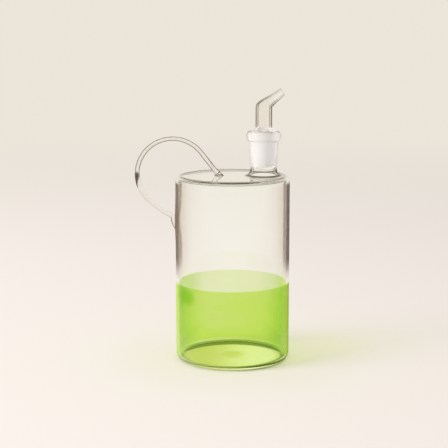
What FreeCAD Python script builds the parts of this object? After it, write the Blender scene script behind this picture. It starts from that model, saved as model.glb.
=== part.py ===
import FreeCAD, Part
import math
import os

import Sketcher

# Oil cruet blown from borosilicate glass: a straight-sided body in two colours, flat on top, with a
# bent rod handle and an off-centre ground-joint neck that holds a hollow pourer with a bent beak.
# Millimetres, +Z up. The origin is the centre of the underside; the handle is towards -X and the
# neck and the beak towards +X, all in the XZ plane.

SIZES = {
    # the body
    "body_diameter": 85.0,
    "body_height": 139.0,
    "wall": 2.2,
    "base_thickness": 2.4,
    "top_thickness": 2.2,
    "heel_radius": 5.0,
    "shoulder_radius": 4.4,
    "colour_height": 59.3,
    "pip_diameter": 18.0,
    "pip_height": 0.9,
    # the neck, a socket for a ground joint with a taper of 1 in 10 on the diameter
    "neck_inset": 19.5,
    "neck_height": 33.0,
    "neck_flare": 5.5,
    "throat_clearance": 0.2,
    "throat_wall": 1.4,
    "joint_diameter": 18.8,
    "joint_length": 26.0,
    "joint_taper": 0.1,
    "socket_wall": 1.9,
    "bead_overhang": 1.6,
    "bead_height": 7.2,
    "bead_crown": 2.9,
    # the handle
    "rod_diameter": 3.6,
    "loop_radius": 26.6,
    "loop_overhang": 1.9,
    "loop_rise": 0.6,
    "leg_lean": 38.0,
    "arm_drop": 38.0,
    "arm_landing": 26.0,
    "arm_run": 7.8,
    "arm_bend": 30.0,
    "pad_diameter": 7.4,
    "pad_height": 2.2,
    "tail_rise": 2.4,
    "tail_length": 13.6,
    "tail_width": 4.4,
    # the pourer
    "joint_clearance": 0.05,
    "cone_end": 1.5,
    "cone_wall": 1.7,
    "collar_height": 2.4,
    "tube_diameter": 12.2,
    "tube_wall": 1.4,
    "tube_height": 14.6,
    "beak_bend": 12.0,
    "beak_turn": 61.0,
    "beak_straight": 8.0,
    "beak_tip_diameter": 5.5,
    "beak_tip_wall": 1.1,
}

TRIM = 3.0            # how far the rod's two ends run on into the body before they are trimmed
BEAK_STATIONS = 5     # sections round the bend of the beak, before the one at its tip
# the drop of glass drawn down the wall below the handle's arm: each section's place down the tail,
# how far its centre stands out from the wall and how wide it is, as shares of the tail's own sizes
TAIL_SECTIONS = ((0.0, -0.3, 0.5), (0.36, 0.85, 1.0), (0.66, 0.5, 0.78), (1.0, 0.0, 0.4))


class Size:
    """A number worked out from the sheet, with the expression that keeps it bound to the cells."""

    def __init__(self, value, text):
        self.value = value
        self.text = text

    def join(self, sign, other, value):
        return Size(value, f"({self.text} {sign} {as_size(other).text})")

    def __add__(self, other):
        return self.join("+", other, self.value + as_size(other).value)

    def __sub__(self, other):
        return self.join("-", other, self.value - as_size(other).value)

    def __mul__(self, other):
        return self.join("*", other, self.value * as_size(other).value)

    def __truediv__(self, other):
        return self.join("/", other, self.value / as_size(other).value)

    def __neg__(self):
        return Size(-self.value, f"(0 - {self.text})")


def as_size(number):
    return number if isinstance(number, Size) else Size(float(number), repr(float(number)))


def sine(angle):
    return Size(math.sin(math.radians(angle.value)), f"sin({angle.text})")


def cosine(angle):
    return Size(math.cos(math.radians(angle.value)), f"cos({angle.text})")


def tangent(angle):
    return Size(math.tan(math.radians(angle.value)), f"tan({angle.text})")


def make_sheet(doc):
    """Writes each driving dimension to its own cell and returns them by name."""
    sheet = doc.addObject("Spreadsheet::Sheet", "Sizes")
    for row, (name, number) in enumerate(SIZES.items(), start=1):
        sheet.set(f"A{row}", name)
        sheet.set(f"B{row}", str(number))
        sheet.setAlias(f"B{row}", name)
    doc.recompute()
    return {name: Size(number, f"Sizes.{name}") for name, number in SIZES.items()}


def origin_plane(body, role):
    return next(item for item in body.Origin.OriginFeatures if item.Role == role)


def add_sketch(body, name, role="XZ_Plane", offset=None, turn=None):
    """A sketch on one of the body's own planes, moved by offset and turned about +Y by turn."""
    sketch = body.newObject("Sketcher::SketchObject", name)
    sketch.AttachmentSupport = [(origin_plane(body, role), "")]
    sketch.MapMode = "FlatFace"
    offset = offset or {}
    place = FreeCAD.Vector(*(offset[axis].value if axis in offset else 0.0 for axis in "xyz"))
    spin = FreeCAD.Rotation(FreeCAD.Vector(0, 1, 0), turn.value if turn else 0.0)
    sketch.AttachmentOffset = FreeCAD.Placement(place, spin)
    for axis, size in offset.items():
        sketch.setExpression(f"AttachmentOffset.Base.{axis}", size.text)
    if turn:
        sketch.setExpression("AttachmentOffset.Rotation.Angle", turn.text)
    return sketch


def bind(sketch, constraint, name, size):
    index = sketch.addConstraint(constraint)
    sketch.renameConstraint(index, name)
    sketch.setExpression(f"Constraints.{name}", size.text)


def pin_point(sketch, element, corner, number, point):
    """Ties one corner of an outline to the cells, or to an axis where it lies on one."""
    for letter, kind, axis, size in (("x", "DistanceX", -2, point[0]), ("y", "DistanceY", -1, point[1])):
        if size.value == 0.0:
            sketch.addConstraint(Sketcher.Constraint("PointOnObject", element, corner, axis))
        else:
            constraint = Sketcher.Constraint(kind, -1, 1, element, corner, size.value)
            bind(sketch, constraint, f"{letter}{number}", size)


def arc_between(start, end, radius, turn):
    """The minor arc from start to end, with its centre on the left if turn is 1, or the right if -1."""
    chord = end - start
    height = math.sqrt(radius ** 2 - chord.Length ** 2 / 4)
    side = FreeCAD.Vector(-chord.y, chord.x, 0).normalize() * turn
    centre = (start + end) / 2 + side * height
    first, last = (start, end) if turn > 0 else (end, start)
    angles = [math.atan2(point.y - centre.y, point.x - centre.x) for point in (first, last)]
    return Part.ArcOfCircle(Part.Circle(centre, FreeCAD.Vector(0, 0, 1), radius), *angles)


def draw(sketch, start, steps, closed=True):
    """Draws an outline of lines and arcs. A step is (x, y) or (x, y, radius, turn), bound to the cells."""
    corners = [tuple(as_size(part) for part in start)]
    corners += [tuple(as_size(part) for part in step[:2]) for step in steps]
    if closed:
        corners[-1] = corners[0]
    ends = []
    for number, step in enumerate(steps):
        near, far = (FreeCAD.Vector(x.value, y.value, 0) for x, y in corners[number:number + 2])
        if len(step) == 2:
            element = sketch.addGeometry(Part.LineSegment(near, far))
            ends.append((element, 1, 2))
        else:
            radius, turn = as_size(step[2]), step[3]
            element = sketch.addGeometry(arc_between(near, far, radius.value, turn))
            ends.append((element, 1, 2) if turn > 0 else (element, 2, 1))
            bind(sketch, Sketcher.Constraint("Radius", element, radius.value), f"r{number}", radius)
    for (one, _, one_end), (other, other_start, _) in zip(ends, ends[1:]):
        sketch.addConstraint(Sketcher.Constraint("Coincident", one, one_end, other, other_start))
    for number, (element, first, _) in enumerate(ends):
        pin_point(sketch, element, first, number, corners[number])
    last_element, _, last_end = ends[-1]
    if closed:
        sketch.addConstraint(Sketcher.Constraint("Coincident", last_element, last_end, ends[0][0], ends[0][1]))
    else:
        pin_point(sketch, last_element, last_end, len(ends), corners[-1])


def draw_circle(sketch, radius):
    centre = FreeCAD.Vector(0, 0, 0)
    element = sketch.addGeometry(Part.Circle(centre, FreeCAD.Vector(0, 0, 1), radius.value))
    sketch.addConstraint(Sketcher.Constraint("Coincident", element, 3, -1, 1))
    bind(sketch, Sketcher.Constraint("Radius", element, radius.value), "radius", radius)


def revolve(body, kind, name, sketch):
    feature = body.newObject(f"PartDesign::{kind}", name)
    feature.Profile = sketch
    feature.ReferenceAxis = (sketch, ["V_Axis"])
    feature.Angle = 360.0
    return feature


def loft(body, kind, name, sketches):
    feature = body.newObject(f"PartDesign::{kind}", name)
    feature.Profile = sketches[0]
    feature.Sections = sketches[1:]
    return feature


def new_body(doc, name):
    body = doc.addObject("PartDesign::Body", name)
    body.Label = name
    return body


def make_lower_glass(doc, s):
    """The green cup: flat base with a thick pip in its middle, rounded heel and straight wall."""
    body = new_body(doc, "lower_glass")
    outer = s["body_diameter"] / 2
    inner = outer - s["wall"]
    heel_inside = s["heel_radius"] - s["wall"]
    floor = s["base_thickness"]
    pip_top = floor + s["pip_height"]
    pip_edge = s["pip_diameter"] / 2
    pip_round = pip_edge * pip_edge / s["pip_height"] / 4 + s["pip_height"] / 4
    sketch = add_sketch(body, "CupProfile")
    draw(sketch, (0, 0), [
        (outer - s["heel_radius"], 0),
        (outer, s["heel_radius"], s["heel_radius"], 1),
        (outer, s["colour_height"]),
        (inner, s["colour_height"]),
        (inner, floor + heel_inside),
        (inner - heel_inside, floor, heel_inside, -1),
        (pip_edge, floor),
        (pip_edge / 2, floor + s["pip_height"] / 2, pip_round, -1),
        (0, pip_top, pip_round, 1),
        (0, 0),
    ])
    revolve(body, "Revolution", "Cup", sketch)
    return body


def neck_axis(s):
    return s["body_diameter"] / 2 - s["neck_inset"]


def joint_radius(s, depth):
    """The radius of the ground bore at a depth below the mouth."""
    return s["joint_diameter"] / 2 - depth * s["joint_taper"] / 2


def make_upper_glass(doc, s):
    """The clear wall, shoulder and flat top, with the neck grown out of the top on its own axis."""
    body = new_body(doc, "upper_glass")
    outer = s["body_diameter"] / 2
    inner = outer - s["wall"]
    top = s["body_height"]
    ceiling = top - s["top_thickness"]
    shoulder_inside = s["shoulder_radius"] - s["wall"]
    shell = add_sketch(body, "ShellProfile")
    draw(shell, (inner, s["colour_height"]), [
        (outer, s["colour_height"]),
        (outer, top - s["shoulder_radius"]),
        (outer - s["shoulder_radius"], top, s["shoulder_radius"], 1),
        (0, top),
        (0, ceiling),
        (inner - shoulder_inside, ceiling),
        (inner, ceiling - shoulder_inside, shoulder_inside, -1),
        (inner, s["colour_height"]),
    ])
    revolve(body, "Revolution", "Shell", shell)

    mouth = top + s["neck_height"]
    joint_end = mouth - s["joint_length"]
    throat = joint_radius(s, s["joint_length"]) + s["throat_clearance"]
    waist = throat + s["throat_wall"]
    bead = s["joint_diameter"] / 2 + s["socket_wall"] + s["bead_overhang"]
    bead_foot = mouth - s["bead_height"]
    socket_top = joint_radius(s, s["bead_height"]) + s["socket_wall"]
    socket_end = joint_radius(s, s["joint_length"]) + s["socket_wall"]
    overhang = bead - socket_top
    neck = add_sketch(body, "NeckProfile", offset={"x": neck_axis(s)})
    draw(neck, (0, ceiling), [
        (waist + s["neck_flare"], ceiling),
        (waist + s["neck_flare"], top),
        (waist, top + s["neck_flare"], s["neck_flare"], -1),
        (socket_end, joint_end),
        (socket_top, bead_foot),
        (bead, bead_foot + overhang, overhang, 1),
        (bead, mouth - s["bead_crown"]),
        (bead - s["bead_crown"], mouth, s["bead_crown"], 1),
        (0, mouth),
        (0, ceiling),
    ])
    revolve(body, "Revolution", "Neck", neck)

    flare_inside = s["neck_flare"] + s["top_thickness"] / 2
    bore = add_sketch(body, "BoreProfile", offset={"x": neck_axis(s)})
    draw(bore, (0, ceiling), [
        (throat + flare_inside, ceiling),
        (throat, ceiling + flare_inside, flare_inside, -1),
        (throat, joint_end),
        (joint_radius(s, s["joint_length"]), joint_end),
        (s["joint_diameter"] / 2, mouth),
        (0, mouth),
        (0, ceiling),
    ])
    revolve(body, "Groove", "Bore", bore)
    return body


def make_handle(doc, s):
    """One bent rod: a straight leg up from the top, round the loop and down an arm to the wall."""
    body = new_body(doc, "handle")
    outer = s["body_diameter"] / 2
    top = s["body_height"]
    loop_x = -outer - s["loop_overhang"]
    loop_z = top + s["loop_rise"]
    loop = s["loop_radius"]
    leg_top = (loop_x + loop * cosine(s["leg_lean"]), loop_z + loop * sine(s["leg_lean"]))
    rise = leg_top[1] - top
    foot = (leg_top[0] + rise * tangent(s["leg_lean"]), top)
    leg_end = (foot[0] + sine(s["leg_lean"]) * TRIM, foot[1] - cosine(s["leg_lean"]) * TRIM)
    arm_top = (loop_x - loop * sine(s["arm_drop"]), loop_z - loop * cosine(s["arm_drop"]))
    bend_top = (arm_top[0] + s["arm_run"] * cosine(s["arm_drop"]),
                arm_top[1] - s["arm_run"] * sine(s["arm_drop"]))
    bend_end = (bend_top[0] + s["arm_bend"] * (sine(s["arm_drop"]) - sine(s["arm_landing"])),
                bend_top[1] - s["arm_bend"] * (cosine(s["arm_landing"]) - cosine(s["arm_drop"])))
    reach = -outer - bend_end[0]
    landing = (-outer, bend_end[1] - reach * tangent(s["arm_landing"]))
    arm_end = (landing[0] + cosine(s["arm_landing"]) * TRIM, landing[1] - sine(s["arm_landing"]) * TRIM)

    line = add_sketch(body, "RodLine")
    draw(line, leg_end, [
        leg_top,
        (loop_x - loop, loop_z, loop, 1),
        (*arm_top, loop, 1),
        bend_top,
        (*bend_end, s["arm_bend"], 1),
        arm_end,
    ], closed=False)
    section = add_sketch(body, "RodSection", "XY_Plane", {"x": leg_end[0], "z": leg_end[1]}, -s["leg_lean"])
    draw_circle(section, s["rod_diameter"] / 2)
    rod = body.newObject("PartDesign::AdditivePipe", "Rod")
    rod.Profile = section
    rod.Spine = (line, [])

    pad = s["pad_diameter"] / 2
    pad_round = pad * pad / s["pad_height"] / 2 + s["pad_height"] / 2
    pad_profile = add_sketch(body, "PadProfile", offset={"x": foot[0]})
    draw(pad_profile, (0, top - s["top_thickness"] / 2), [
        (pad, top - s["top_thickness"] / 2),
        (pad, top),
        (0, top + s["pad_height"], pad_round, 1),
        (0, top - s["top_thickness"] / 2),
    ])
    revolve(body, "Revolution", "Pad", pad_profile)

    tail_top = landing[1] + s["tail_rise"]
    sketches = []
    for number, (down, out, width) in enumerate(TAIL_SECTIONS):
        place = {"x": -outer - s["tail_width"] * (out / 2), "z": tail_top - s["tail_length"] * down}
        sketch = add_sketch(body, f"TailSection{number}", "XY_Plane", place)
        draw_circle(sketch, s["tail_width"] * (width / 2))
        sketches.append(sketch)
    loft(body, "AdditiveLoft", "Tail", sketches)

    trim = add_sketch(body, "TrimProfile")
    draw(trim, (0, 0), [(outer, 0), (outer, top), (0, top), (0, 0)])
    revolve(body, "Groove", "Trim", trim)
    return body


def beak_sections(body, name, s, base, wide, narrow):
    """Circles square to the beak's line, tapering evenly from the wide diameter to the tip's."""
    bend = s["beak_bend"]
    bent = bend * s["beak_turn"] * (math.pi / 180)
    run = bent + s["beak_straight"]
    stations = [(s["beak_turn"] * (step / BEAK_STATIONS), as_size(0), bent * (step / BEAK_STATIONS) / run)
                for step in range(BEAK_STATIONS + 1)]
    stations.append((s["beak_turn"], s["beak_straight"], as_size(1)))
    sketches = []
    for number, (turned, straight, share) in enumerate(stations):
        place = {"x": neck_axis(s) + bend - bend * cosine(turned) + straight * sine(turned),
                 "z": base + bend * sine(turned) + straight * cosine(turned)}
        sketch = add_sketch(body, f"{name}Section{number}", "XY_Plane", place, turned)
        draw_circle(sketch, (wide + (narrow - wide) * share) / 2)
        sketches.append(sketch)
    return sketches


def make_pourer(doc, s):
    """The hollow ground cone, closed in to a narrower tube that bends over into a tapering beak."""
    body = new_body(doc, "pourer")
    mouth = s["body_height"] + s["neck_height"]
    end_depth = s["joint_length"] + s["cone_end"]
    cone_end = mouth - end_depth
    cone_top = joint_radius(s, as_size(0)) - s["joint_clearance"]
    cone_tip = joint_radius(s, end_depth) - s["joint_clearance"]
    tube = s["tube_diameter"] / 2
    collar_top = mouth + s["collar_height"]
    collar = cone_top - tube
    bend_start = mouth + s["tube_height"]
    outline = add_sketch(body, "PourerProfile", offset={"x": neck_axis(s)})
    draw(outline, (0, cone_end), [
        (cone_tip, cone_end),
        (cone_top, mouth),
        (tube, collar_top, collar, 1),
        (tube, bend_start),
        (0, bend_start),
        (0, cone_end),
    ])
    revolve(body, "Revolution", "ConeAndTube", outline)
    tip = s["beak_tip_diameter"]
    loft(body, "AdditiveLoft", "Beak", beak_sections(body, "Beak", s, bend_start, s["tube_diameter"], tip))

    bore_tube = tube - s["tube_wall"]
    inside = add_sketch(body, "PourerBore", offset={"x": neck_axis(s)})
    draw(inside, (0, cone_end), [
        (cone_tip - s["cone_wall"], cone_end),
        (cone_top - s["cone_wall"], mouth - s["cone_wall"]),
        (bore_tube, collar_top - s["cone_wall"]),
        (bore_tube, bend_start),
        (0, bend_start),
        (0, cone_end),
    ])
    revolve(body, "Groove", "Bore", inside)
    tip_bore = tip - s["beak_tip_wall"] * 2
    bore = beak_sections(body, "BeakBore", s, bend_start, bore_tube * 2, tip_bore)
    loft(body, "SubtractiveLoft", "BeakBore", bore)
    return body


def check_and_write(doc, bodies):
    """Stops on any failed object or bad solid, and otherwise writes one STEP file for each piece."""
    for item in doc.Objects:
        if {"Invalid", "Error"} & set(item.State):
            raise RuntimeError(f"{item.Label} did not build: {item.State}")
    for body in bodies:
        shape = body.Shape
        if shape.isNull() or not shape.isValid() or len(shape.Solids) != 1:
            raise RuntimeError(f"{body.Label} is not one sound solid")
    os.makedirs("parts", exist_ok=True)
    for body in bodies:
        body.Shape.exportStep(f"parts/{body.Label}.step")
        print(f"{body.Label}: {body.Shape.Volume:.1f} cubic mm")


def main():
    doc = FreeCAD.newDocument("OilCruet")
    s = make_sheet(doc)
    bodies = [make_lower_glass(doc, s), make_upper_glass(doc, s), make_handle(doc, s), make_pourer(doc, s)]
    doc.recompute()
    check_and_write(doc, bodies)


main()
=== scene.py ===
"""Oil cruet of blown glass, green below and clear above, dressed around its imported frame."""

import math
from collections import namedtuple

import bmesh
import bpy
from bpy.props import FloatProperty, FloatVectorProperty, IntProperty, PointerProperty
from mathutils import Matrix, Vector
from mathutils.geometry import interpolate_bezier


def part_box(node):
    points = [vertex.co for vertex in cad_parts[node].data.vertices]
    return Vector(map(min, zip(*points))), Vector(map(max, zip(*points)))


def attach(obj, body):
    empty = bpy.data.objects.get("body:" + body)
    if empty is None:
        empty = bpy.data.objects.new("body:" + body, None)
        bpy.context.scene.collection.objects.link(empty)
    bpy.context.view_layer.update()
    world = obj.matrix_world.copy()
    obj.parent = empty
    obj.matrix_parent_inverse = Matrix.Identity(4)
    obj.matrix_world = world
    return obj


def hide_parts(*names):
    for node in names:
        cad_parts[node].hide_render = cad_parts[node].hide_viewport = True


bl_info = {
    "name": "Oil Cruet",
    "version": (1, 0, 0),
    "blender": (4, 5, 0),
    "location": "3D View > Sidebar > Cruet",
    "description": "A two-colour blown glass oil cruet with a rod handle and a ground-in pourer",
    "category": "Add Mesh",
}

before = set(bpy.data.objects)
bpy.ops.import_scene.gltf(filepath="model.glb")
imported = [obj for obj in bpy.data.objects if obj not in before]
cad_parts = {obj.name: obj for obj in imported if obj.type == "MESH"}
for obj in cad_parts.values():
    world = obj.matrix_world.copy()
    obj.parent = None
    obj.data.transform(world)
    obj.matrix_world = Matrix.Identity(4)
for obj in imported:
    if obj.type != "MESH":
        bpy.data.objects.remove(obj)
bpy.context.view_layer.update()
GREEN_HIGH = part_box("lower_glass")[1]
CLEAR_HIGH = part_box("upper_glass")[1]
MM = 0.001


# ---------------------------------------------------------------- sizes and colours

def length(name, default, description):
    """A size in metres."""
    return FloatProperty(name=name, description=description, default=default, min=0.0,
                         precision=5, unit="LENGTH", subtype="DISTANCE")


def angle(name, degrees, description):
    """A turn, given in degrees."""
    return FloatProperty(name=name, description=description, default=math.radians(degrees),
                         unit="ROTATION", subtype="ANGLE")


def amount(name, default, description, low=0.0, high=1.0):
    """A plain number, such as a share or a strength."""
    return FloatProperty(name=name, description=description, default=default, min=low, max=high,
                         precision=3)


def colour(name, default, description):
    """A colour as red, green and blue."""
    return FloatVectorProperty(name=name, description=description, default=default, size=3,
                               min=0.0, max=1.0, subtype="COLOR")


class CruetBody(bpy.types.PropertyGroup):
    """Sizes of the straight-sided body"""
    radius: length("Radius", GREEN_HIGH[0], "From the axis to the outside of the wall")
    height: length("Height", 139 * MM, "From the table to the flat top")
    wall: length("Wall", 2.2 * MM, "Thickness of the side wall and the top")
    base: length("Base", 2.4 * MM, "Thickness of the bottom")
    heel: length("Heel", 5 * MM, "Rounding where the wall meets the bottom")
    shoulder: length("Shoulder", 4.4 * MM, "Rounding where the wall meets the top")
    inner_heel: length("Inner heel", 2.8 * MM, "Rounding of the bottom's corner inside")
    inner_shoulder: length("Inner shoulder", 2.2 * MM, "Rounding of the top's corner inside")
    colour_line: length("Colour line", GREEN_HIGH[2], "Height at which green glass is joined to clear")
    pip_radius: length("Pip radius", 9 * MM, "Half the width of the thick spot in the bottom")
    pip_rise: length("Pip rise", 0.9 * MM, "How far the thick spot stands up inside")
    turns: IntProperty(name="Facets", description="Steps round a full turn", default=192, min=48)


class CruetNeck(bpy.types.PropertyGroup):
    """Sizes of the off-centre neck and its ground socket"""
    inset: length("Inset", 23 * MM, "From the body's axis to the neck's axis")
    mouth: length("Mouth", CLEAR_HIGH[2], "Height of the rim")
    flare: length("Flare", 5.0 * MM, "Rounding where the neck grows out of the top")
    waist: length("Waist", 9.7 * MM, "Outside radius just above the flare")
    throat: length("Throat", 8.3 * MM, "Inside radius below the ground zone")
    throat_flare: length("Throat flare", 6.1 * MM, "Rounding where the throat opens under the top")
    joint: length("Joint radius", 9.4 * MM, "Radius of the ground joint at the rim")
    joint_length: length("Joint length", 26 * MM, "Height of the ground zone")
    taper: amount("Taper", 0.05, "How much radius the ground joint loses for its length")
    socket_wall: length("Socket wall", 1.9 * MM, "Thickness outside the ground zone")
    bead: length("Bead radius", 12.9 * MM, "Outside radius of the thick rim")
    bead_height: length("Bead height", 7.2 * MM, "Height of the thick rim")


class CruetHandle(bpy.types.PropertyGroup):
    """Sizes of the bent rod handle"""
    rod: length("Rod radius", 1.65 * MM, "Radius of the rod on average")
    loop: length("Loop radius", 26.6 * MM, "Radius of the round bend, at the rod's centre")
    loop_x: length("Loop place", 44.4 * MM, "From the body's axis to the centre of the bend")
    loop_z: length("Loop height", 139.6 * MM, "Height of the centre of the bend")
    thin_at: angle("Thin at", 95, "Where on the bend the rod is thinnest")
    thin: amount("Thinner", 0.08, "Share of its radius that the rod loses there")
    thick_at: angle("Thick at", 208, "Where on the bend the rod is thickest")
    thick: amount("Thicker", 0.3, "Share of its radius that the rod gains there")
    leg_lean: angle("Leg lean", 38, "How far the leg on the top leans over")
    arm_drop: angle("Arm drop", 38, "How steeply the arm comes off the bend")
    arm_straight: length("Arm", 7.8 * MM, "Straight stretch of the arm below the bend")
    arm_easing: length("Arm easing", 30 * MM, "Radius at which the arm then levels out")
    arm_landing: angle("Arm landing", 26, "How steeply the arm meets the wall")
    knee: length("Knee", 2.4 * MM, "Radius at which the arm turns down along the wall")
    fused: length("Fused", 1.9 * MM, "From the wall to the rod's centre where it is fused on")
    pad: length("Pad radius", 3.7 * MM, "Radius of the leg's spread foot")
    tail: length("Tail", 11.6 * MM, "Length of the drop of glass drawn down the wall")
    swell: length("Swell", 0.6 * MM, "How far the wall swells where the arm is fused on")
    swell_at: length("Swell height", 105 * MM, "Height of the middle of the swelling")
    swell_wide: length("Swell width", 7 * MM, "Half the width of the swelling")
    swell_tall: length("Swell reach", 12 * MM, "Half the height of the swelling")


class CruetPourer(bpy.types.PropertyGroup):
    """Sizes of the hollow pourer"""
    tube: length("Tube radius", 6.1 * MM, "Outside radius of the upright tube")
    wall: length("Wall", 1.4 * MM, "Thickness of the tube")
    cone_wall: length("Cone wall", 1.7 * MM, "Thickness of the ground cone")
    cone_past: length("Cone past", 1.5 * MM, "How far the cone reaches below the ground zone")
    seat: length("Seat", 0.06 * MM, "Clearance between cone and socket")
    collar: length("Collar", 2.4 * MM, "Height of the shoulder above the cone")
    rise: length("Rise", 17.2 * MM, "From the rim to the start of the bend")
    reach: length("Reach", 13.4 * MM, "From the neck's axis to the middle of the tip")
    lift: length("Lift", 11.5 * MM, "From the start of the bend up to the middle of the tip")
    turn: angle("Turn", 58, "How far the tip faces over from straight up")
    slope: angle("Back slope", 35, "Slope of the beak's straight back")
    back_start: length("Back start", 5.4 * MM, "How long the back keeps the tube's direction")
    back_end: length("Back end", 12.5 * MM, "How long the back keeps its slope before the tip")
    throat_start: length("Throat start", 1.0 * MM, "How long the throat keeps the tube's direction")
    throat_end: length("Throat end", 5 * MM, "How long the throat keeps its slope before the tip")
    tip: length("Tip radius", 2.85 * MM, "Outside radius of the beak's tip")
    tip_wall: length("Tip wall", 1.1 * MM, "Thickness at the tip")


class CruetGlass(bpy.types.PropertyGroup):
    """Colours of the glass"""
    clear: colour("Clear", (0.992, 1.0, 0.985), "What one wall of clear glass lets through")
    clear_edge: colour("Clear, edge on", (0.93, 0.90, 0.84), "What each mirroring inside clear glass keeps")
    green_low: colour("Green, low", (0.76, 0.935, 0.37), "What one wall lets through near the bottom")
    green_high: colour("Green, high", (0.765, 0.93, 0.36), "What one wall lets through higher up")
    green_faded: colour("Green, faded", (0.83, 0.94, 0.56), "What the wall lets through at its palest")
    # Laid where the wall turns edge on, more so on the right as painted shade, on a spot at the near left and
    # on a zone at the far left.
    green_dense: colour("Green, dense", (0.40, 0.74, 0.01), "What the wall lets through where it is thick")
    # Painted light: a paler green laid low on the wall, and as a painted highlight across its middle.
    green_painted_pale: colour("Green, pale", (0.86, 0.94, 0.68), "What the thin glass near the bottom lets through")
    # Painted light: the bottom is laid paler, standing in for light that reaches the table under it through
    # the glass.
    green_lit_bottom: colour("Green, bottom", (0.89, 0.968, 0.80), "What the bottom lets through")
    # Painted shade: the thick heel's colour where it shows the shaded table under it.
    green_heel_shade: colour("Green, deep", (0.07, 0.12, 0.005), "What the thick corner of the bottom shows")
    # Used as the glass's mirror tint, and as the colour of the painted shade lines down each side of the
    # green wall.
    green_edge: colour("Green, edge on", (0.40, 0.60, 0.01), "What the green wall shows edge on")
    green_shade: colour("Green shade", (0.83, 0.91, 0.53), "What light from a lamp keeps through one wall")
    # Painted shade: the dark lines along the glass's edges stand in for dark surroundings seen in it edge on.
    dark_edge_shade: colour("Dark edge", (0.11, 0.08, 0.055), "Colour of the dark lines along thick edges")
    # Painted shade: warm colour laid beside the dark edge lines of the clear wall, the rod and the tube.
    warm_shade: colour("Warm edge", (0.30, 0.13, 0.02), "Warm shading of the clear wall beside its dark edges")
    # Painted reflection: the line round the front of the flat top, where its edge mirrors dark surroundings.
    painted_top_line: colour("Top edge", (0.47, 0.45, 0.33), "Colour of the line round the front of the flat top")
    chalk: colour("Ground glass", (0.80, 0.788, 0.81), "Colour of the ground joint")
    ior: amount("Bending of light", 1.473, "Index of refraction of borosilicate glass", 1.0, 2.0)


class CruetLines(bpy.types.PropertyGroup):
    """How strongly each painted line and zone is laid on the glass, and how matt the ground joint is"""
    # Painted shade: these lines and warm zones stand in for shade and dark surroundings seen in the glass;
    # far_left only lays denser green, and ground makes the joint matt.
    wall: amount("Wall", 0.85, "Dark line down each side of the clear wall")
    wall_warmth: amount("Wall warmth", 0.17, "Warm shading beside that line")
    green_wall: amount("Green wall", 0.85, "Denser line down each side of the green wall")
    far_left: amount("Far left", 0.35, "Denser zone at the left of the far green wall")
    crescent: amount("Crescent", 0.7, "Dark crescent inside the far heel")
    far_heel: amount("Far heel", 0.5, "Dark line under the far heel")
    near_heel: amount("Near heel", 0.95, "Dark line under the near heel, at its right")
    neck: amount("Neck", 0.25, "Dark lines down the neck")
    waist: amount("Waist", 0.8, "Dark lines at the neck's foot")
    plate: amount("Flat top", 0.35, "Dark line along the far side of the flat top")
    ceiling: amount("Ceiling", 0.75, "Dark line under the far side of the flat top")
    throat: amount("Throat", 1.0, "Dark arcs where the throat opens under the flat top")
    top_edge: amount("Top edge", 0.75, "Line round the edge of the flat top")
    rod: amount("Rod", 0.85, "Dark lines along the handle")
    rod_warmth: amount("Rod warmth", 0.05, "Warm shading of the handle")
    tube: amount("Tube", 0.8, "Dark lines up the pourer's tube")
    tube_warmth: amount("Tube warmth", 0.04, "Warm shading of the tube")
    ground: amount("Ground glass", 0.8, "How far the ground joint is matt white")


class CruetStudio(bpy.types.PropertyGroup):
    """The table, the light and the camera"""
    table: colour("Table", (0.93, 0.873, 0.825), "Colour of the table top")
    distance_haze: colour("Far end", (0.835, 0.78, 0.70), "Colour of the far background")
    sky: amount("Sky", 0.62, "Strength of the light from all round", 0.0, 4.0)
    lamp: FloatProperty(name="Softbox", description="Power of the softbox", default=90.0, min=0.0,
                        unit="POWER")
    lamp_size: length("Softbox size", 1.6, "Side of the square softbox")
    dark: colour("Dark ceiling", (0.33, 0.33, 0.17), "Colour of the room far above")
    front: colour("Bright front", (1.0, 1.0, 0.92), "What reflections in the glass show")
    # Painted light: a pool of light laid on the table under the cruet as emission, where the glass gathers
    # light.
    gathered: colour("Gathered light", (1.0, 0.98, 0.95), "Light that the glass gathers on the table")
    camera_distance: length("Camera distance", 0.950, "From the body's axis to the camera")
    camera_height: length("Camera height", 0.26125, "Height of the camera above the table")
    camera_pitch: angle("Camera pitch", 9.5, "How far the camera looks down")
    camera_yaw: angle("Camera yaw", 0.385, "How far the camera is turned to the left")
    lens: FloatProperty(name="Lens", description="Focal length on a 36 mm frame", default=103.57,
                        min=1.0, unit="CAMERA")


class CruetSettings(bpy.types.PropertyGroup):
    """Everything about the cruet that can be changed"""
    body: PointerProperty(type=CruetBody)
    neck: PointerProperty(type=CruetNeck)
    handle: PointerProperty(type=CruetHandle)
    pourer: PointerProperty(type=CruetPourer)
    glass: PointerProperty(type=CruetGlass)
    lines: PointerProperty(type=CruetLines)
    studio: PointerProperty(type=CruetStudio)


# ---------------------------------------------------------------- shader expressions

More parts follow.
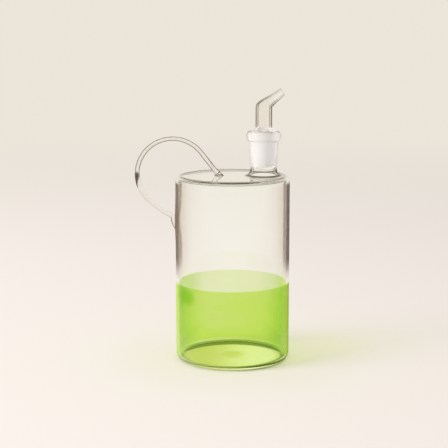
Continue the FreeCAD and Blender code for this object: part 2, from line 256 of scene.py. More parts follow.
class Value:
    """A socket of a node tree that can stand in a sum."""

    def __init__(self, tree, socket):
        self.tree = tree
        self.socket = socket

    def maths(self, operation, *others):
        """A Math node on this value and others."""
        node = self.tree.nodes.new("ShaderNodeMath")
        node.operation = operation
        for slot, other in zip(node.inputs, (self, *others)):
            put(self.tree, slot, other)
        return Value(self.tree, node.outputs[0])

    def reflected(self, operation, other):
        """A Math node on a plain number and this value, in that order."""
        node = self.tree.nodes.new("ShaderNodeMath")
        node.operation = operation
        put(self.tree, node.inputs[0], other)
        put(self.tree, node.inputs[1], self)
        return Value(self.tree, node.outputs[0])

    def __add__(self, other):
        return self.maths("ADD", other)

    def __sub__(self, other):
        return self.maths("SUBTRACT", other)

    def __mul__(self, other):
        return self.maths("MULTIPLY", other)

    def __truediv__(self, other):
        return self.maths("DIVIDE", other)

    def __pow__(self, other):
        return self.maths("POWER", other)

    def __radd__(self, other):
        return self.reflected("ADD", other)

    def __rsub__(self, other):
        return self.reflected("SUBTRACT", other)

    def __rmul__(self, other):
        return self.reflected("MULTIPLY", other)

    def __gt__(self, other):
        return self.maths("GREATER_THAN", other)

    def __lt__(self, other):
        return self.maths("LESS_THAN", other)


def put(tree, slot, value):
    """Links a value to a slot, or sets a plain number or colour on it."""
    if isinstance(value, Value):
        tree.links.new(value.socket, slot)
    elif slot.type == "RGBA" and len(value) == 3:
        slot.default_value = (*value, 1.0)
    else:
        slot.default_value = value


class Finish:
    """The nodes of one material or of the world."""

    def __init__(self, owner):
        owner.use_nodes = True
        self.owner = owner
        self.tree = owner.node_tree
        self.tree.nodes.clear()

    def node(self, kind, settings=None, out=0, **sockets):
        """Adds a node with its settings and the values or links of its sockets; gives one output."""
        node = self.tree.nodes.new("ShaderNode" + kind)
        for name, value in (settings or {}).items():
            setattr(node, name, value)
        for name, value in sockets.items():
            key = int(name[1:]) if name[0] == "i" and name[1:].isdigit() else name.replace("_", " ")
            put(self.tree, node.inputs[key], value)
        return Value(self.tree, node.outputs[out]) if node.outputs else None

    def place(self):
        """The point on the piece, as x, y and z."""
        point = self.node("TexCoord", out="Object")
        split = self.node("SeparateXYZ", Vector=point)
        tree, outs = self.tree, split.socket.node.outputs
        return point, Value(tree, outs[0]), Value(tree, outs[1]), Value(tree, outs[2])

    def edge_on(self):
        """How far the surface is turned away, from 0 to 1."""
        return self.node("LayerWeight", out="Facing", Blend=0.5)

    def ramp(self, value, low, high, start=0.0, end=1.0):
        """Goes smoothly from start to end while the value goes from low to high."""
        return self.node("MapRange", {"interpolation_type": "SMOOTHSTEP"}, Value=value,
                         i1=low, i2=high, i3=start, i4=end)

    def band(self, value, low, low_full, high_full, high):
        """Full between the two middle numbers, and nothing outside the outer two."""
        return self.ramp(value, low, low_full) * self.ramp(value, high, high_full)

    def blend(self, share, one, other):
        """One colour turning into another."""
        return self.node("Mix", {"data_type": "RGBA"}, out=2, i0=share, i6=one, i7=other)

    def shade(self, share, one, other):
        """One shader turning into another."""
        return self.node("MixShader", i0=share, i1=one, i2=other)

    def finish(self, surface):
        """Links the surface to the output; gives the finished material or world."""
        kind = "OutputWorld" if isinstance(self.owner, bpy.types.World) else "OutputMaterial"
        self.node(kind, Surface=surface)
        return self.owner


# ---------------------------------------------------------------- glass

class Line(namedtuple("Line", "tone share turning", defaults=(None,))):
    """A line or zone of painted shade on glass: its tone, its share, and where it grows as the glass turns
    edge on.

    With nothing given for turning it shows whichever way the glass is turned.
    """


def ripple(fin, point, size, height=0.03 * MM):
    """The slight waviness that hot-worked glass keeps."""
    waves = fin.node("TexNoise", Vector=point, Scale=1.0 / size, Detail=1.0, Roughness=0.4)
    return fin.node("Bump", Strength=1.0, Distance=height, Height=waves)


def let_light_by(fin, surface, tint):
    """Lets lamps shine through the glass onto what is behind it, less where they graze it."""
    kept_when_grazing = 0.6
    through = fin.node("BsdfTransparent", Color=tint)
    grazed = fin.node("BsdfTransparent", Color=[share * kept_when_grazing for share in tint])
    through = fin.shade(fin.ramp(fin.edge_on(), 0.55, 1.0), through, grazed)
    return fin.shade(fin.node("LightPath", out="Is Shadow Ray"), surface, through)


def draw_lines(fin, surface, lines):
    """Lays painted shade on the glass as dark diffuse colour, one line after another."""
    for line in lines:
        share = line.share
        if line.turning:
            share = fin.ramp(fin.edge_on(), *line.turning) * share
        surface = fin.shade(share, surface, fin.node("BsdfDiffuse", Color=line.tone))
    return surface


def green_tint(fin, settings, x, y, z, across):
    """What the green glass lets through, place by place, with painted light and painted shade laid into it.
    """
    glass, body = settings.glass, settings.body
    r, top, facing = body.radius, body.colour_line, fin.edge_on()
    bottom_edge = 0.85 * r

    upwards = fin.ramp(z, 0.15 * top, 0.7 * top)
    far_top = fin.ramp(z, 0.5 * top, 0.9 * top) * fin.ramp(y, -0.2 * r, 0.5 * r)
    # Painted highlight: a paler band across the middle of the wall where it faces the camera, stronger on the
    # left.
    middle = fin.band(z, 27 * MM, 37 * MM, 42 * MM, 55 * MM) * fin.ramp(facing, 0.3, 0.0)
    middle = middle * fin.ramp(x, 0.6 * r, -0.6 * r, 0.2, 0.85)
    # Denser where the wall turns edge on and its path is longer; more so on the right, as painted shade of
    # the green shadow behind it.
    edge_on = fin.ramp(facing, 0.1, 0.7) * fin.ramp(x, -r, 0.6 * r, 0.75, 1.0)

    spot_x = (x + 0.86 * r) / (11.11 * MM)
    spot_z = (z - 0.87 * top) / (9.09 * MM)
    near_spot = fin.ramp(spot_x * spot_x + spot_z * spot_z, 1.0, 0.0) * fin.ramp(y, 0.1 * r, -0.3 * r)

    # Painted light: the wall is laid paler low down, on the near side and at the far foot, against the shade
    # under the cruet.
    low_near = fin.ramp(z, 27 * MM, 12 * MM) * fin.ramp(y, 0.6 * r, -0.6 * r)
    low_far = (z < body.base + 2.5 * MM) * fin.ramp(y, 0.5 * r, 0.8 * r)
    near_share, far_share = 0.6, 0.8
    pale_low_painted_light = (low_near * near_share + low_far * far_share) * (across > bottom_edge)

    # Painted light: the bottom is laid paler, but for its thick middle spot.
    pip = fin.ramp(z, body.base + 0.1 * MM, body.base + body.pip_rise)
    bottom = fin.blend(pip, glass.green_lit_bottom, glass.green_low)
    far_left = fin.ramp(x, -0.5 * r, -0.8 * r) * fin.ramp(y, 0.0, 0.3 * r)
    far_left = far_left * fin.ramp(z, 0.6 * top, 0.85 * top)

    tint = glass.green_low
    for share, tone in (
            (upwards, glass.green_high), (far_top, glass.green_faded), (middle, glass.green_painted_pale),
            (edge_on, glass.green_dense), (near_spot, glass.green_dense), (pale_low_painted_light, glass.green_painted_pale),
            (across < bottom_edge, bottom), (far_left * settings.lines.far_left, glass.green_dense)):
        tint = fin.blend(share, tint, tone)
    return tint


def green_lines(fin, settings, x, y, z, across):
    """The painted shade lines of the green glass: at its heel, and down its sides."""
    glass, body, lines = settings.glass, settings.body, settings.lines
    r = body.radius
    off_middle = (x * x + (y + 0.3 * r) ** 2.0) ** 0.5
    # Painted shade at the heel: a crescent inside the far heel and lines under both heels, where thick glass
    # shows the shaded table.
    crescent = (fin.ramp(off_middle, 0.92 * r, 0.98 * r) * (across < 0.9 * r)
                * (z < body.base + 0.3 * MM) * fin.ramp(y, 0.0, 0.3 * r))
    far_heel = (fin.ramp(z, 3.0 * MM, 1.8 * MM) * (across > r - body.heel)
                * fin.ramp(y, 0.2 * r, 0.75 * r) * fin.node("NewGeometry", out="Backfacing"))
    near_heel = (fin.ramp(z, 1.5 * MM, 0.8 * MM) * (across > r - 6.5 * MM)
                 * fin.ramp(y, 0.3 * r, -0.2 * r))
    rightwards = fin.ramp(x, -0.3 * r, 0.7 * r, 0.45, lines.near_heel)
    on_wall = (across > 0.92 * r) * fin.ramp(z, 3 * MM, 6 * MM)
    return (Line(glass.green_heel_shade, crescent * lines.crescent, turning=(0.55, 0.7)),
            Line(glass.green_heel_shade, far_heel * lines.far_heel),
            Line(glass.green_heel_shade, near_heel * rightwards),
            # Painted shade: a denser green line down each side of the green wall, stronger on the right.
            Line(glass.green_edge, on_wall * fin.ramp(x, -r, r, 0.5, lines.green_wall), turning=(0.5, 0.85)))


def green_glass(settings):
    """Yellow-green glass, paler at the top of the far wall and denser where it is seen edge on, with painted
    light and painted shade laid on it.
    """
    glass = settings.glass
    fin = Finish(bpy.data.materials.new("green glass"))
    point, x, y, z = fin.place()
    across = (x * x + y * y) ** 0.5
    surface = fin.node(
        "BsdfPrincipled", Base_Color=green_tint(fin, settings, x, y, z, across), Roughness=0.0,
        IOR=glass.ior, Specular_Tint=glass.green_edge, Transmission_Weight=1.0,
        Normal=ripple(fin, point, 35 * MM))
    surface = draw_lines(fin, surface, green_lines(fin, settings, x, y, z, across))
    return fin.finish(let_light_by(fin, surface, [math.sqrt(share) for share in glass.green_shade]))


def clear_glass(settings, name, rim, ground=None):
    """Colourless glass. Rim gives the painted shade lines laid on it, and ground a mask of where it is ground
    matt.
    """
    glass = settings.glass
    fin = Finish(bpy.data.materials.new(name))
    point, x, y, z = fin.place()
    rough = 0.0
    if ground:
        matt = ground(fin, x, y, z)
        grain = fin.node("TexNoise", Vector=point, Scale=900.0, Detail=2.0)
        least_rough, most_more = 0.45, 0.15
        rough = matt * (least_rough + grain * most_more)
    surface = fin.node(
        "BsdfPrincipled", Base_Color=glass.clear, Roughness=rough, IOR=glass.ior,
        Specular_Tint=glass.clear_edge, Transmission_Weight=1.0, Normal=ripple(fin, point, 30 * MM))
    surface = draw_lines(fin, surface, rim(fin, x, y, z))
    if ground:
        chalk = fin.shade(0.5, fin.node("BsdfDiffuse", Color=glass.chalk),
                          fin.node("BsdfTranslucent", Color=glass.chalk))
        surface = fin.shade(matt * settings.lines.ground, surface, chalk)
    return fin.finish(let_light_by(fin, surface, [math.sqrt(share) * 0.98 for share in glass.clear]))


# ---------------------------------------------------------------- modelling

def outline(bm, corners):
    """A line of edges through corners (x, z) in the XZ plane.

    A third number rounds that corner to its radius, and a fourth says in how many steps.
    """
    points = [Vector((c[0], 0.0, c[1])) for c in corners]
    verts = [bm.verts.new(p) for p in points]
    for pair in zip(verts, verts[1:]):
        bm.edges.new(pair)
    for i in range(1, len(corners) - 1):
        if len(corners[i]) < 3 or not corners[i][2]:
            continue
        before, after = points[i] - points[i - 1], points[i + 1] - points[i]
        steps = corners[i][3] if len(corners[i]) > 3 else 8
        bmesh.ops.bevel(bm, geom=[verts[i]], offset=corners[i][2] * math.tan(before.angle(after) / 2),
                        offset_type="OFFSET", segments=steps, profile=0.5, affect="VERTICES", material=-1)


def divide(bm, longest):
    """Cuts every longer edge of an outline into even pieces."""
    for edge in list(bm.edges):
        cuts = math.ceil(edge.calc_length() / longest) - 1
        if cuts > 0:
            bmesh.ops.subdivide_edges(bm, edges=[edge], cuts=cuts)


def turned(corners, axis_x, turns, longest=4 * MM):
    """A shape spun a full turn about the upright axis at axis_x."""
    bm = bmesh.new()
    outline(bm, [(axis_x + c[0], *c[1:]) for c in corners])
    divide(bm, longest)
    bmesh.ops.spin(bm, geom=bm.verts[:] + bm.edges[:], cent=(axis_x, 0, 0), axis=(0, 0, 1),
                   dvec=(0, 0, 0), angle=2 * math.pi, steps=turns, use_merge=True, use_duplicate=False)
    bmesh.ops.remove_doubles(bm, verts=bm.verts[:], dist=0.0001 * MM)
    return bm


def gather(bm, other):
    """Adds another bmesh's shape to this one."""
    mesh = bpy.data.meshes.new("shape")
    other.to_mesh(mesh)
    other.free()
    bm.from_mesh(mesh)
    bpy.data.meshes.remove(mesh)


def open_ring(bm, centre_x, z, radius):
    """The open edges that lie on one level circle."""
    found = []
    for edge in bm.edges:
        if not edge.is_boundary:
            continue
        off = [abs(math.hypot(v.co.x - centre_x, v.co.y) - radius) + abs(v.co.z - z) for v in edge.verts]
        if max(off) < 0.01 * MM:
            found.append(edge)
    if not found:
        raise RuntimeError(f"no open ring at x {centre_x}, z {z}, radius {radius}")
    return found


def carry(bm, ring, places):
    """Draws a ring of edges along a line of places, each a matrix; gives the last ring."""
    for here, there in zip(places, places[1:]):
        made = bmesh.ops.extrude_edge_only(bm, edges=ring)["geom"]
        verts = [g for g in made if isinstance(g, bmesh.types.BMVert)]
        ring = [g for g in made if isinstance(g, bmesh.types.BMEdge)
                and g.verts[0] in verts and g.verts[1] in verts]
        bmesh.ops.transform(bm, matrix=there @ here.inverted(), verts=verts)
    return ring


def section(x, z, heading, across, deep=None):
    """Where a round section of a rod or tube stands in the XZ plane, square to its heading."""
    return (Matrix.Translation((x, 0, z)) @ Matrix.Rotation(math.pi / 2 - heading, 4, "Y")
            @ Matrix.Diagonal((deep or across, across, across, 1)))


def ahead(heading):
    """One step along a heading in the XZ plane."""
    return Vector((math.cos(heading), math.sin(heading)))


def add_piece(name, bm, materials, nodes):
    """Makes the finished object, smooth all over, riding on the cruet."""
    bmesh.ops.recalc_face_normals(bm, faces=bm.faces[:])
    if bm.calc_volume(signed=True) < 0:
        bmesh.ops.reverse_faces(bm, faces=bm.faces[:])
    loose = [e for e in bm.edges if not e.is_manifold]
    if loose:
        raise RuntimeError(f"{name} has {len(loose)} open or doubled edges")
    mesh = bpy.data.meshes.new(name)
    bm.to_mesh(mesh)
    bm.free()
    for polygon in mesh.polygons:
        polygon.use_smooth = True
    for material in materials:
        mesh.materials.append(material)
    piece = bpy.data.objects.new(name, mesh)
    bpy.context.scene.collection.objects.link(piece)
    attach(piece, "root")
    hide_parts(*nodes)


# ---------------------------------------------------------------- the bottle

def body_outside(body, plate):
    """The body's outer line, from the middle of the bottom to where the flat top starts."""
    return [
        (0, 0), (body.radius - body.heel - 0.5 * MM, 0), (body.radius, 0, body.heel),
        (body.radius, body.heel + 0.4 * MM), (body.radius, body.colour_line),
        (body.radius, body.height - body.shoulder - 0.4 * MM),
        (body.radius, body.height, body.shoulder), (plate, body.height),
    ]


def body_inside(body, plate):
    """The body's inner line, from the thick spot in the bottom to under the flat top."""
    inner, ceiling = body.radius - body.wall, body.height - body.wall
    pip, past_heel = body.base + body.pip_rise, body.inner_heel + 0.6 * MM
    return [
        (0, pip), (body.pip_radius * 0.5, pip, body.pip_radius),
        (body.pip_radius, body.base, body.pip_radius),
        (inner - past_heel, body.base), (inner, body.base, body.inner_heel), (inner, body.base + past_heel),
        (inner, body.colour_line), (inner, ceiling - body.inner_shoulder - 0.4 * MM),
        (inner, ceiling, body.inner_shoulder), (plate, ceiling),
    ]


def neck_line(body, neck):
    """The neck's line, from its flare up the outside, over the rim and down to the throat."""
    ceiling = body.height - body.wall
    joint_end = neck.mouth - neck.joint_length
    bead_foot = neck.mouth - neck.bead_height
    joint_low = neck.joint - neck.joint_length * neck.taper
    bead_low = neck.joint - neck.bead_height * neck.taper
    waist, throat = neck.waist, neck.throat
    return [
        (waist + neck.flare, body.height), (waist, body.height, neck.flare, 12),
        (waist, body.height + neck.flare + 0.5 * MM),
        (joint_low + neck.socket_wall, joint_end + 0.5 * MM, 4 * MM),
        (bead_low + neck.socket_wall, bead_foot - 0.2 * MM, 1.0 * MM),
        (neck.bead, bead_foot + 0.6 * MM, 1.7 * MM), (neck.bead, neck.mouth, 2.9 * MM),
        (neck.joint + 0.1 * MM, neck.mouth, 0.5 * MM), (joint_low, joint_end, 0.2 * MM, 4),
        (throat, joint_end - 0.2 * MM, 0.3 * MM, 4), (throat, ceiling, neck.throat_flare, 12),
        (throat + neck.throat_flare, ceiling),
    ]


def swell_wall(bm, body, handle):
    """Lets the wall swell a little where the handle's arm is fused on."""
    for vert in bm.verts:
        if vert.co.x < -0.5 * body.radius and vert.co.z > body.colour_line:
            off = math.hypot(vert.co.y / handle.swell_wide, (vert.co.z - handle.swell_at) / handle.swell_tall)
            vert.co.x -= handle.swell * math.exp(-off * off)


class CRUET_OT_bottle(bpy.types.Operator):
    """Blow the body and draw the neck out of its flat top"""
    bl_idname = "cruet.bottle"
    bl_label = "Bottle"

    def execute(self, context):
        settings = context.scene.cruet
        body, neck, glass, lines = settings.body, settings.neck, settings.glass, settings.lines
        inner, ceiling = body.radius - body.wall, body.height - body.wall
        edge = body.radius - body.shoulder      # where the shoulder's rounding ends
        plate = edge - 0.2 * MM                 # where the flat top starts, a hair further in
        joint_end = neck.mouth - neck.joint_length

        bm = turned(body_outside(body, plate), 0.0, body.turns)
        gather(bm, turned(body_inside(body, plate), 0.0, body.turns))
        gather(bm, turned(neck_line(body, neck), neck.inset, body.turns, 3 * MM))
        above = (body.height, neck.waist + neck.flare)
        below = (ceiling, neck.throat + neck.throat_flare)
        for level, hole in (above, below):
            places = [Matrix.Translation((neck.inset * t, 0, level))
                      @ Matrix.Scale(plate + (hole - plate) * t, 4) for t in (0.0, 0.05, 0.95, 1.0)]
            carry(bm, open_ring(bm, 0.0, level, plate), places)
        bmesh.ops.remove_doubles(bm, verts=bm.verts[:], dist=0.002 * MM)
        swell_wall(bm, body, settings.handle)
        for face in bm.faces:
            face.material_index = 1 if face.calc_center_median().z > body.colour_line else 0

        def ground(fin, x, y, z):
            """The ground zone: the inside of the socket, from the throat to just under the rim."""
            away = ((x - neck.inset) ** 2.0 + y * y) ** 0.5
            socket = fin.ramp(z, joint_end - 0.2 * MM, joint_end + 0.6 * MM) * (z < neck.mouth - 0.4 * MM)
            return socket * (away < neck.joint + 0.3 * MM)

        def rim(fin, x, y, z):
            """The painted shade lines of the clear wall, the flat top and the neck."""
            across = (x * x + y * y) ** 0.5
            away = ((x - neck.inset) ** 2.0 + y * y) ** 0.5
            far = fin.ramp(y, 0.0, 0.4 * edge)
            on_wall = fin.band(z, 60 * MM, 80 * MM, body.height - 6 * MM, body.height - 3 * MM)
            on_neck = fin.ramp(z, body.height + 1 * MM, body.height + 4 * MM)
            waist = on_neck * fin.ramp(z, joint_end, body.height + neck.flare)
            on_plate = (z > body.height - 1 * MM) * fin.ramp(across, edge - 6 * MM, edge) * far
            on_ceiling = (fin.ramp(z, ceiling - 2.4 * MM, ceiling - 1.6 * MM) * (z < ceiling + 0.3 * MM)
                          * fin.ramp(across, inner - 3 * MM, inner - 1 * MM) * far)
            in_throat = (fin.ramp(z, ceiling - 0.2 * MM, ceiling + 0.2 * MM) * (z < ceiling + 1.8 * MM)
                         * (away < neck.throat + 5 * MM))
            # Painted reflection: a line round the front edge of the flat top.
            top_edge = ((across > edge) * fin.ramp(z, body.height - 0.8 * MM, body.height - 0.4 * MM)
                        * fin.ramp(x * x / edge ** 2, 1.0, 0.6, 0.2, 1.0))
            return (Line(glass.warm_shade, on_wall * lines.wall_warmth, turning=(0.25, 0.72)),
                    Line(glass.dark_edge_shade, on_wall * lines.wall, turning=(0.62, 0.72)),
                    Line(glass.dark_edge_shade, on_neck * lines.neck, turning=(0.35, 0.8)),
                    Line(glass.dark_edge_shade, waist * lines.waist, turning=(0.4, 0.7)),
                    Line(glass.dark_edge_shade, on_plate * lines.plate, turning=(0.80, 0.88)),
                    Line(glass.dark_edge_shade, on_ceiling * lines.ceiling),
                    Line(glass.dark_edge_shade, in_throat * lines.throat),
                    Line(glass.painted_top_line, top_edge * lines.top_edge))

        add_piece("bottle", bm, [green_glass(settings), clear_glass(settings, "clear glass", rim, ground)],
                  ("lower_glass", "upper_glass"))
        return {"FINISHED"}


# ---------------------------------------------------------------- the handle

# The spread foot: height above the flat top in millimetres, and share of the pad's radius.
FOOT = ((-0.1, 1.0), (0.12, 0.95), (0.4, 0.83), (0.8, 0.71), (1.4, 0.61), (2.2, 0.55), (3.4, 0.525))
# The drop of glass down the wall: share of its length, then distance from the wall, half its width
# and half its depth in millimetres.
DROP = ((0.15, 1.85, 2.2, 1.9), (0.3, 1.6, 2.15, 1.9), (0.45, 1.3, 2.0, 1.75), (0.6, 0.95, 1.75, 1.5),
        (0.75, 0.6, 1.4, 1.2), (0.88, 0.3, 0.95, 0.9), (0.96, 0.1, 0.6, 0.6), (1.0, 0.0, 0.25, 0.3))


def leg_places(h, body, leg_top):
    """The sections of the leg, from its foot on the flat top up to the bend."""
    upright = math.pi / 2
    heading = upright + h.leg_lean
    foot = Vector((leg_top.x + (leg_top.y - body.height) * math.tan(h.leg_lean), body.height))
    leans_from, near_bend = 1.4, 1.02       # millimetres up the foot, and share of the rod's radius
    places = []
    for up, wide in FOOT:
        spot = foot + ahead(heading) * up * MM / math.cos(h.leg_lean)
        lean = h.leg_lean * min(1.0, max(0.0, up / leans_from))
        places.append(section(*spot, upright + lean, wide * h.pad))
    for share in (0.3, 0.5, 0.7, 0.88):
        places.append(section(*foot.lerp(leg_top, share), heading, h.rod * near_bend))
    return places


def bend_places(h, centre, start, end, steps=48):
    """The sections of the round bend, thinner at its top and thicker low on its left."""
    thin_over, thick_over = 0.7, 0.4        # in radians along the bend
    places = []
    for i in range(steps + 1):
        a = start + (end - start) * i / steps
        thin = math.exp(-((a - h.thin_at) / thin_over) ** 2)
        thick = math.exp(-((a - h.thick_at) / thick_over) ** 2)
        wide = h.rod * (1.0 - h.thin * thin + h.thick * thick)
        spot = centre + ahead(a) * (h.loop - max(0.0, wide - h.rod))
        places.append(section(*spot, a + math.pi / 2, wide))
    return places


def arm_places(h, body, spot):
    """The sections of the arm, from the bend to the wall and down along it."""
    places = []
    heading = -h.arm_drop
    steps = 6
    for i in range(steps):
        spot = spot + ahead(heading) * h.arm_straight / steps
        places.append(section(*spot, heading, h.rod))
    easing = (h.arm_drop - h.arm_landing) / steps
    for i in range(steps):
        heading += easing / 2
        spot = spot + ahead(heading) * h.arm_easing * easing
        heading += easing / 2
        places.append(section(*spot, heading, h.rod))

    fall = math.pi / 2 - h.arm_landing
    fuse_x = -body.radius - h.fused
    straight = (fuse_x - spot.x - h.knee * (1 - math.sin(h.arm_landing))) / math.cos(heading)
    for share in (0.5, 1.0):
        landing = spot + ahead(heading) * straight * share
        places.append(section(*landing, heading, h.rod * (1 + 0.03 * share)))
    spot = landing
    steps = 7
    for i in range(steps):      # turns down along the wall, and widens against it
        heading -= fall / steps / 2
        spot = spot + ahead(heading) * h.knee * fall / steps
        heading -= fall / steps / 2
        share = i / steps
        places.append(section(*spot, heading, h.rod * (1.05 + 0.15 * share), h.rod * (1.03 + 0.02 * share)))

    drop = h.tail - h.knee - 1.0 * MM
    for share, out, wide, deep in DROP:
        places.append(section(-body.radius - out * MM, spot.y - drop * share, heading, wide * MM, deep * MM))
    return places


class CRUET_OT_handle(bpy.types.Operator):
    """Bend the rod handle and fuse its two ends to the body"""
    bl_idname = "cruet.handle"
    bl_label = "Handle"

    def execute(self, context):
        settings = context.scene.cruet
        h, body, glass, lines = settings.handle, settings.body, settings.glass, settings.lines
        centre = Vector((-h.loop_x, h.loop_z))
        start, end = h.leg_lean, math.pi * 1.5 - h.arm_drop
        places = leg_places(h, body, centre + ahead(start) * h.loop)
        places += bend_places(h, centre, start, end)
        places += arm_places(h, body, centre + ahead(end) * h.loop)

        def rim(fin, x, y, z):
            """The painted shade lines along the rod, and a painted dark reflection at the left of its bend.
            """
            outermost = -h.loop_x - h.loop
            # Painted reflection: a dark patch low on the left of the bend, where the rod mirrors dark
            # surroundings.
            patch_z, patch_tall = h.loop_z - 6 * MM, 9 * MM
            height = (z - patch_z) / patch_tall
            patch = fin.ramp(height * height, 1.0, 0.3)
            patch = patch * fin.ramp(x, outermost + 0.9 * MM, outermost + 0.1 * MM)
            along = fin.ramp(z, body.height, body.height + 5 * MM, 0.1, lines.rod)
            return (Line(glass.warm_shade, lines.rod_warmth),
                    Line(glass.dark_edge_shade, along, turning=(0.1, 0.45)),
                    Line(glass.dark_edge_shade, patch))

        bm = bmesh.new()
        bmesh.ops.create_circle(bm, cap_ends=True, segments=32, radius=1.0, matrix=places[0])
        last = carry(bm, bm.edges[:], places)
        bmesh.ops.holes_fill(bm, edges=last, sides=0)
        add_piece("handle_rod", bm, [clear_glass(settings, "clear glass rod", rim)],
                  ("handle",))
        return {"FINISHED"}


# ---------------------------------------------------------------- the pourer

def pourer_line(neck, p, cone_end, cone_tip, bend_start):
    """The pourer's line: down its outside to the cone's end, and up the inside of its wall."""
    cone_top = neck.joint - p.seat
    collar_top = neck.mouth + p.collar
    inside = p.tube - p.wall
    return [
        (p.tube, bend_start), (p.tube, collar_top + 0.3 * MM, 1.5 * MM),
        (p.tube + 0.6 * MM, collar_top - 0.6 * MM, 1.2 * MM),
        (cone_top - 0.3 * MM, neck.mouth + 0.9 * MM, 1.2 * MM), (cone_top, neck.mouth - 0.3 * MM),
        (cone_tip, cone_end, 0.7 * MM, 5), (cone_tip - p.cone_wall, cone_end, 0.7 * MM, 5),
        (cone_top - p.cone_wall, neck.mouth - p.cone_wall, 2.5 * MM),
        (inside, collar_top - p.cone_wall, 2 * MM), (inside, bend_start),
    ]


class CRUET_OT_pourer(bpy.types.Operator):
    """Turn the ground cone and draw its tube over into a beak"""
    bl_idname = "cruet.pourer"
    bl_label = "Pourer"

    def execute(self, context):
        settings = context.scene.cruet
        neck, p, glass, lines = settings.neck, settings.pourer, settings.glass, settings.lines
        cone_length = neck.joint_length + p.cone_past
        cone_end = neck.mouth - cone_length
        cone_tip = neck.joint - cone_length * neck.taper - p.seat
        bend_start = neck.mouth + p.rise
        bm = turned(pourer_line(neck, p, cone_end, cone_tip, bend_start), neck.inset, 96, 3 * MM)

        sections = 26
        facing = math.pi / 2 - p.turn
        forwards = Vector((math.cos(facing), 0, math.sin(facing)))
        across = Vector((-math.sin(facing), 0, math.cos(facing))) * p.tip
        mid = Vector((neck.inset + p.reach, 0, bend_start + p.lift))
        back_slope = Vector((math.cos(p.slope), 0, math.sin(p.slope)))
        throat_slope = Vector((0.7, 0, 0.7))
        back_foot = Vector((neck.inset - p.tube, 0, bend_start))
        throat_foot = Vector((neck.inset + p.tube, 0, bend_start))
        back = interpolate_bezier(
            back_foot, back_foot + Vector((0, 0, p.back_start)),
            mid + across - back_slope * p.back_end, mid + across, sections)
        throat = interpolate_bezier(
            throat_foot, throat_foot + Vector((0, 0, p.throat_start)),
            mid - across - throat_slope * p.throat_end, mid - across, sections)

        def beak(depth, lip):
            """The sections of the beak from the tube to its tip: the outside at depth 0, the inside at 1."""
            places = []
            for i, (high, low) in enumerate(zip(back, throat)):
                side, centre = high - low, (high + low) / 2
                heading = math.atan2(-side.x, side.z)
                wall = depth * (p.wall + (p.tip_wall - p.wall) * i / (sections - 1))
                places.append(section(centre.x, centre.z, heading, side.length / 2 - wall))
            for out, wider in lip:
                spot = mid + forwards * out
                places.append(section(spot.x, spot.z, facing, p.tip - depth * p.tip_wall + wider))
            return places

        half = p.tip_wall / 2
        lip = [(half * math.sin(t), half * (math.cos(t) - 1)) for t in (0.35, 0.7, 1.05, 1.35)]
        inner_lip = [(out, -wider) for out, wider in lip]
        outer = carry(bm, open_ring(bm, neck.inset, bend_start, p.tube), beak(0, lip))
        inner = carry(bm, open_ring(bm, neck.inset, bend_start, p.tube - p.wall), beak(1, inner_lip))
        bmesh.ops.bridge_loops(bm, edges=outer + inner)

        def ground(fin, x, y, z):
            """The ground zone: the outside of the cone, but for its melted end."""
            away = ((x - neck.inset) ** 2.0 + y * y) ** 0.5
            cone = fin.ramp(z, cone_end + 1.2 * MM, cone_end + 1.9 * MM) * (z < neck.mouth - 0.2 * MM)
            return cone * (away > cone_tip - 0.3 * MM + (z - cone_end) * neck.taper)

        def rim(fin, x, y, z):
            """The painted shade lines up the tube, fading along the beak."""
            upright = fin.ramp(z, neck.mouth + 2 * MM, neck.mouth + 4 * MM)
            below = upright * fin.ramp(z, bend_start + 8 * MM, bend_start)
            fading = upright * fin.ramp(z, bend_start + 12 * MM, bend_start + 2 * MM, 0.3, lines.tube)
            return (Line(glass.warm_shade, below * lines.tube_warmth),
                    Line(glass.dark_edge_shade, fading, turning=(0.40, 0.58)))

        add_piece("pourer_glass", bm, [clear_glass(settings, "clear glass with ground zone", rim, ground)],
                  ("pourer",))
        return {"FINISHED"}


# ---------------------------------------------------------------- the stage

def studio_air(s):
    """The light from all round, and what is seen and mirrored of the room."""
    world = bpy.data.worlds.new("studio air")
    air = Finish(world)
    direction = air.node("TexCoord", out="Generated")
    up = air.node("SeparateXYZ", Vector=direction, out="Z")
    behind = air.node("SeparateXYZ", Vector=direction, out="Y")
    ceiling = air.ramp(up, 0.6, 0.95) * (1.0 - air.node("LightPath", out="Is Camera Ray"))
    mirrored = (air.node("LightPath", out="Glossy Depth") > 0.5) * air.ramp(behind, 0.1, -0.3)
    seen = air.blend(ceiling, air.blend(mirrored, s.distance_haze, s.front), s.dark)
    plain = air.node("Background", Color=(1.0, 0.985, 0.96), Strength=s.sky)
    shown = air.node("Background", Color=seen, Strength=1.0)
    return air.finish(air.shade(air.node("LightPath", out="Is Diffuse Ray"), shown, plain))


def table_top(s):
    """The pale table, with a painted pool of light under the cruet where the glass gathers light, haze far
    off, and a painted glow seen only in the glass's reflections.
    """
    top = Finish(bpy.data.materials.new("pale table"))
    _, x, y, _ = top.place()
    away = (x * x + y * y) ** 0.5
    pale = top.node("BsdfDiffuse", Color=s.table)
    gathered_light = top.node("Emission", Color=s.gathered, Strength=1.0)
    haze = top.node("Emission", Color=s.distance_haze, Strength=1.0)
    glow = top.node("Emission", Color=s.front, Strength=1.3)
    # Painted light: emission under the cruet, stronger to the right and weaker right under its middle.
    gathered = top.ramp(away, 37 * MM, 30 * MM) * top.ramp(x, -20 * MM, 20 * MM, 0.0, 0.3)
    gathered = gathered * top.ramp(away, 4 * MM, 14 * MM, 0.2, 1.0)
    # Painted light: the near table glows brighter where the glass mirrors it.
    mirrored = (top.node("LightPath", out="Glossy Depth") > 0.5) * top.ramp(y, -0.1, -0.4)
    surface = top.shade(gathered, pale, gathered_light)
    surface = top.shade(top.ramp(away, 0.35, 1.8), surface, haze)
    return top.finish(top.shade(mirrored, surface, glow))


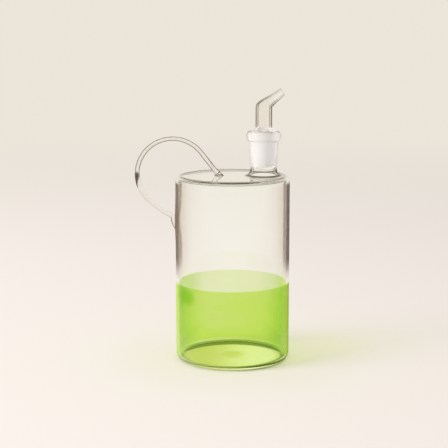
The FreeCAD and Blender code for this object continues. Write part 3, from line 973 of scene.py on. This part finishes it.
def add_table(scene, material):
    """Lays a wide round table under the cruet."""
    bm = bmesh.new()
    bmesh.ops.create_circle(bm, cap_ends=True, segments=64, radius=0.5)
    carry(bm, bm.edges[:], [Matrix.Scale(size, 4) for size in (1.0, 4.0, 60.0)])
    mesh = bpy.data.meshes.new("table")
    bm.to_mesh(mesh)
    bm.free()
    mesh.materials.append(material)
    table = bpy.data.objects.new("table", mesh)
    scene.collection.objects.link(table)


def add_softbox(scene, place, aim, size, power):
    """Hangs a square lamp that lights the cruet but isn't mirrored in it or seen through it."""
    light = bpy.data.lights.new("softbox", "AREA")
    light.shape = "SQUARE"
    light.size = size
    light.energy = power
    lamp = bpy.data.objects.new("softbox", light)
    scene.collection.objects.link(lamp)
    lamp.location = place
    lamp.rotation_euler = (Vector(aim) - Vector(place)).to_track_quat("-Z", "Y").to_euler()
    lamp.visible_transmission = False
    lamp.visible_glossy = False


def add_camera(scene, s):
    """Sets the camera in front of the cruet, looking a little down."""
    lens = bpy.data.cameras.new("camera")
    lens.lens = s.lens
    lens.sensor_width = 36.0
    lens.clip_end = 100.0
    camera = bpy.data.objects.new("camera", lens)
    scene.collection.objects.link(camera)
    camera.location = (0.0, -s.camera_distance, s.camera_height)
    camera.rotation_euler = (math.pi / 2 - s.camera_pitch, 0.0, s.camera_yaw)
    scene.camera = camera


class CRUET_OT_studio(bpy.types.Operator):
    """Set the table, the light and the camera"""
    bl_idname = "cruet.studio"
    bl_label = "Studio"

    def execute(self, context):
        scene = context.scene
        s = scene.cruet.studio
        scene.view_settings.view_transform = "Standard"
        scene.cycles.max_bounces = 24
        scene.cycles.glossy_bounces = 16
        scene.cycles.transmission_bounces = 24
        scene.cycles.transparent_max_bounces = 24
        scene.cycles.blur_glossy = 0.0
        scene.world = studio_air(s)
        add_table(scene, table_top(s))
        add_softbox(scene, place=(-2.7, -1.3, 1.95), aim=(0, 0, 0.06), size=s.lamp_size, power=s.lamp)
        add_camera(scene, s)
        return {"FINISHED"}


# ---------------------------------------------------------------- the add-on

PIECES = (CRUET_OT_bottle, CRUET_OT_handle, CRUET_OT_pourer, CRUET_OT_studio)
GROUPS = ("body", "neck", "handle", "pourer", "glass", "lines", "studio")


class CRUET_PT_panel(bpy.types.Panel):
    """The cruet's sizes and its buttons"""
    bl_idname = "CRUET_PT_panel"
    bl_label = "Oil cruet"
    bl_space_type = "VIEW_3D"
    bl_region_type = "UI"
    bl_category = "Cruet"

    def draw(self, context):
        for piece in PIECES:
            self.layout.operator(piece.bl_idname)
        for name in GROUPS:
            box = self.layout.box()
            box.label(text=name.capitalize())
            group = getattr(context.scene.cruet, name)
            for prop in group.__annotations__:
                box.prop(group, prop)


CLASSES = (CruetBody, CruetNeck, CruetHandle, CruetPourer, CruetGlass, CruetLines, CruetStudio, CruetSettings,
           *PIECES, CRUET_PT_panel)


def register():
    """Adds the cruet's settings, operators and panel to Blender."""
    for cls in CLASSES:
        bpy.utils.register_class(cls)
    bpy.types.Scene.cruet = PointerProperty(type=CruetSettings)


def unregister():
    """Takes them out again."""
    del bpy.types.Scene.cruet
    for cls in reversed(CLASSES):
        bpy.utils.unregister_class(cls)


def main():
    """Builds the stage and the cruet."""
    register()
    bpy.ops.cruet.studio()
    bpy.ops.cruet.bottle()
    bpy.ops.cruet.handle()
    bpy.ops.cruet.pourer()


if __name__ == "__main__":
    main()
